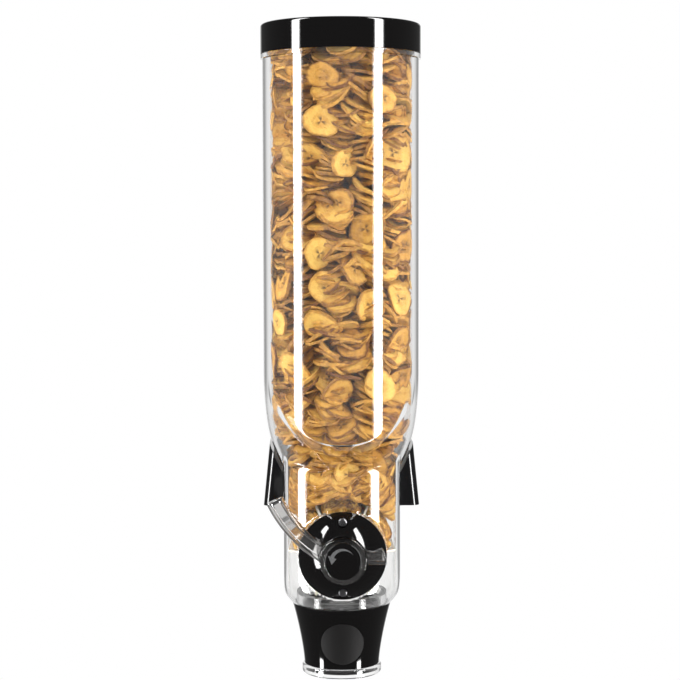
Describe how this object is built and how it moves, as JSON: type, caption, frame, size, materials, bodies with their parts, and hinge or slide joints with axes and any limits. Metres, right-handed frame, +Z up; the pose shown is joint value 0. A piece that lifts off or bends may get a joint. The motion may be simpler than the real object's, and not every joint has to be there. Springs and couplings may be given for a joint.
{
  "type": "bulk food dispenser",
  "caption": "Tall clear round hopper on a wall bracket, with a black lid, a lever-turned portion wheel in its neck and a flared bayonet spout.",
  "frame": {"origin": "centre of the wall bracket's wall face", "axes": "+Y into the wall, -Y to the front where the lever is, +Z up along the hopper, +X to the right seen from the front"},
  "size_m": [0.1536, 0.178, 0.6255],
  "materials": {
    "clear_plastic": "clear, polished",
    "smoky_plastic": "clear with a smoky tint, polished",
    "black_gloss": "high gloss black",
    "black_plastic": "satin gloss black",
    "badge_grey": "matt dark grey",
    "white_plastic": "natural acetal",
    "pale_silicone": "soft translucent silicone",
    "grey_rubber": "soft satin",
    "steel": "zinc plated",
    "silver_print": "satin silver inlay"
  },
  "bodies": {
    "bracket": {"wall_bracket": "black_plastic", "bracket_pads": "grey_rubber"},
    "hopper": {"hopper_front_shell": "clear_plastic", "hopper_rear_shell": "clear_plastic", "outlet_collar": "clear_plastic", "spout_seal": "grey_rubber", "nose_cover": "black_gloss", "nose_gasket": "grey_rubber", "cover_screws": "steel", "front_bush": "white_plastic", "rear_bush": "white_plastic"},
    "lid": {"lid_cap": "black_gloss", "lid_seal": "grey_rubber"},
    "wheel": {"drive_shaft": "white_plastic", "shaft_clip": "steel", "wheel_hub": "white_plastic", "wheel_vanes": "pale_silicone", "lever": "smoky_plastic", "lever_screw": "steel", "arrow_cap": "black_gloss", "arrow_mark": "silver_print"},
    "spout": {"spout": "black_gloss", "spout_badge": "badge_grey", "outlet_ring": "clear_plastic"}
  },
  "joints": [
    {"name": "hopper_lift", "type": "slide", "parent": "bracket", "child": "hopper", "axis": [0, 0, 1], "range_m": [0, 0.1]},
    {"name": "lid_lift", "type": "slide", "parent": "hopper", "child": "lid", "axis": [0, 0, 1], "range_m": [0, 0.06]},
    {"name": "wheel_turn", "type": "hinge", "parent": "hopper", "child": "wheel", "pos_m": [0, -0.148, -0.0957], "axis": [0, -1, 0], "continuous": true},
    {"name": "spout_twist", "type": "hinge", "parent": "hopper", "child": "spout", "pos_m": [0, -0.088, -0.1535], "axis": [0, 0, 1], "range_deg": [0, 30]}
  ]
}
